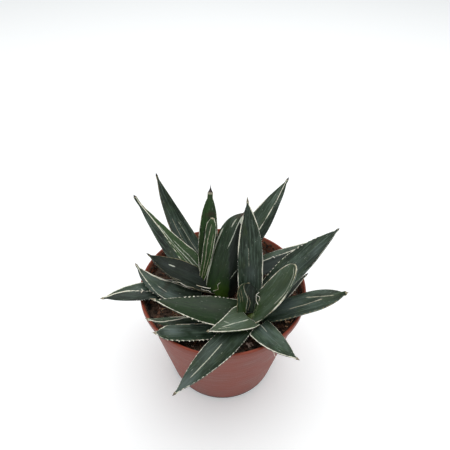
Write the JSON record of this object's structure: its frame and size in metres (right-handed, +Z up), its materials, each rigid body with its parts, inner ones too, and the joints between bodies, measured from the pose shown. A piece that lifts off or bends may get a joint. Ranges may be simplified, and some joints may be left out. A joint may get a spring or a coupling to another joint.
{
  "type": "potted agave",
  "caption": "Young agave with two crowded rosettes of narrow dark green, pale-edged, spine-tipped leaves in a terracotta-coloured plastic nursery pot.",
  "frame": {"origin": "centre of the pot's flat underside", "axes": "+Z up through the pot's axis, -Y towards the side the front rosette leans over, +X to the right seen from there"},
  "size_m": [0.1469, 0.1336, 0.1406],
  "materials": {
    "pot_plastic": "thin moulded terracotta-coloured plastic, satin",
    "potting_soil": "dark loose peat with bark bits, fully matte",
    "crown_green": "pale yellow-green waxy plant tissue",
    "leaf_green": "dark blue-green waxy leaf with white markings and pale horny edges"
  },
  "bodies": {
    "root": {"pot": "pot_plastic", "soil": "potting_soil", "crown_rear": "crown_green", "crown_front": "crown_green", "leaf_front_bud": "leaf_green", "leaf_rear_bud": "leaf_green", "leaf_front_cupped": "leaf_green", "leaf_front_short": "leaf_green", "leaf_rear_upright": "leaf_green", "leaf_rear_broad": "leaf_green", "leaf_front_upright": "leaf_green", "leaf_front_left_broad": "leaf_green", "leaf_rear_left_tall": "leaf_green", "leaf_rear_right_tall": "leaf_green", "leaf_front_right_long": "leaf_green", "leaf_rear_left_upper": "leaf_green", "leaf_rear_left_long": "leaf_green", "leaf_rear_left_middle": "leaf_green", "leaf_front_right_low": "leaf_green", "leaf_front_near_right": "leaf_green", "leaf_rear_right_low": "leaf_green", "leaf_front_right_under": "leaf_green", "leaf_rear_left_low": "leaf_green", "leaf_front_left_narrow": "leaf_green", "leaf_front_near_left": "leaf_green", "leaf_front_left_low": "leaf_green"}
  },
  "joints": []
}
